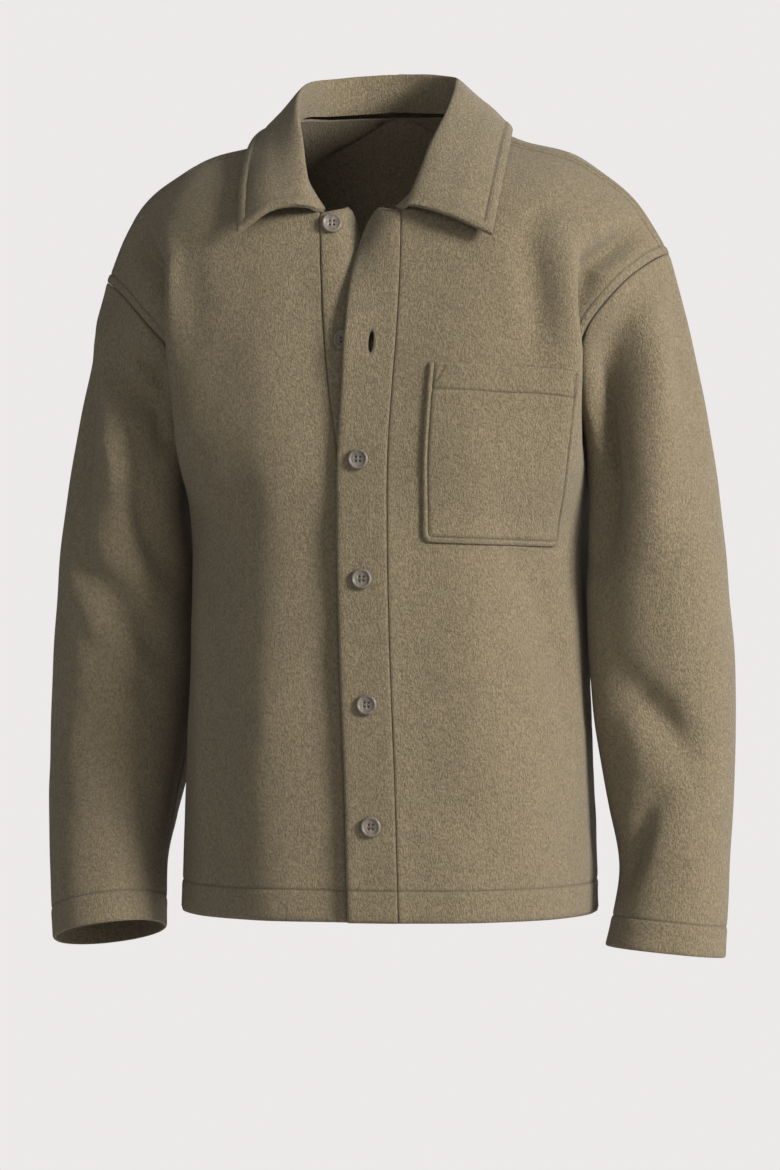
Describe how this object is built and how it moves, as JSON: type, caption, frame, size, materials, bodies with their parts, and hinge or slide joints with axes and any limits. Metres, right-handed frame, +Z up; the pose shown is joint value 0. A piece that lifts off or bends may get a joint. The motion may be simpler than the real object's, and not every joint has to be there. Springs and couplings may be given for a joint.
{
  "type": "shacket",
  "caption": "boxy long-sleeved overshirt in thick napped wool, with a turned-down collar, button front and chest pocket",
  "frame": {"origin": "the middle of the neck opening, level with the back neck seam", "axes": "+X towards the wearer's left, -Y towards the front, +Z up the worn garment"},
  "size_m": [0.5894, 0.2739, 0.752],
  "materials": {
    "front_left": "thick napped wool felt, matt",
    "front_right": "thick napped wool felt, matt",
    "back": "thick napped wool felt, matt",
    "sleeve_left": "thick napped wool felt, matt",
    "sleeve_right": "thick napped wool felt, matt",
    "collar": "thick napped wool felt, matt",
    "placket_left": "thick napped wool felt, matt",
    "placket_right": "thick napped wool felt, matt",
    "pocket": "thick napped wool felt, matt",
    "button_1": "grey-brown, soft sheen",
    "button_2": "grey-brown, soft sheen",
    "button_3": "grey-brown, soft sheen",
    "button_4": "grey-brown, soft sheen",
    "button_5": "grey-brown, soft sheen",
    "button_6": "grey-brown, soft sheen"
  },
  "bodies": {
    "root": {"front_left": "front_left", "front_right": "front_right", "back": "back", "sleeve_left": "sleeve_left", "sleeve_right": "sleeve_right", "collar": "collar", "placket_left": "placket_left", "placket_right": "placket_right", "pocket": "pocket", "button_1": "button_1", "button_2": "button_2", "button_3": "button_3", "button_4": "button_4", "button_5": "button_5", "button_6": "button_6"}
  },
  "joints": []
}
